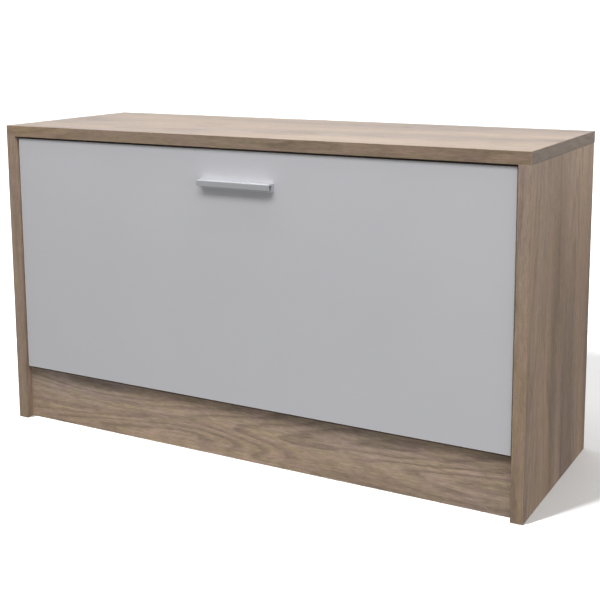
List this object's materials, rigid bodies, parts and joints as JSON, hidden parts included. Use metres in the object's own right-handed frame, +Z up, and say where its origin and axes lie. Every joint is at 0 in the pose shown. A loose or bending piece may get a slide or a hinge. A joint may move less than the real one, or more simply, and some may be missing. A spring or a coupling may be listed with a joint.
{
  "type": "shoe bench",
  "caption": "Low entryway bench cabinet whose board top is the seat and whose white front is a flap that tilts out with a shoe rack on its back.",
  "frame": {"origin": "centre of the object's whole footprint, handle included, at floor level", "axes": "+X along the length to the right of someone facing the flap, +Y from the flap to the back panel, +Z up"},
  "size_m": [0.8, 0.289, 0.45],
  "materials": {
    "oak_foil_top": "pale oak-look foil, satin, grain along the length",
    "oak_foil_front": "grey-brown oak-look foil, satin, grain along the length",
    "oak_foil_side": "grey-brown oak-look foil, satin, upright grain",
    "oak_band": "oak-look edge strip, satin",
    "white_board": "white melamine-faced chipboard, satin",
    "white_band": "white edge strip, satin",
    "hardboard": "plain brown hardboard, matt",
    "dowel_wood": "plain beech, fluted",
    "zinc": "zinc die-cast, satin",
    "steel": "zinc-plated steel",
    "handle_aluminium": "satin anodised",
    "moulded_black": "fine moulded grain",
    "soft_pad": "soft clear pad"
  },
  "bodies": {
    "cabinet": {"top_panel": "oak_foil_top", "top_edge_bands": "oak_band", "left_side_panel": "oak_foil_side", "right_side_panel": "oak_foil_side", "side_edge_bands": "oak_band", "kick_board": "oak_foil_front", "bottom_panel": "oak_foil_front", "back_panel": "hardboard", "front_rail": "oak_foil_front", "rear_rail": "oak_foil_front", "cam_locks": "zinc", "cam_bolts": "steel", "dowels": "dowel_wood", "back_nails": "steel", "left_pivot_bracket": "steel", "right_pivot_bracket": "steel", "bracket_screws": "steel", "stop_pegs": "steel"},
    "flap": {"flap_panel": "white_board", "flap_edge_bands": "white_band", "handle": "handle_aluminium", "handle_screws": "steel", "flap_buffers": "soft_pad", "left_rack_plate": "moulded_black", "right_rack_plate": "moulded_black", "rack_screws": "steel", "front_row_floor": "white_board", "middle_divider": "white_board", "rear_row_floor": "white_board", "rear_divider": "white_board"}
  },
  "joints": [
    {"name": "flap_tilt", "type": "hinge", "parent": "cabinet", "child": "flap", "pos_m": [0, -0.1085, 0.14], "axis": [1, 0, 0], "range_deg": [0, 42]}
  ]
}
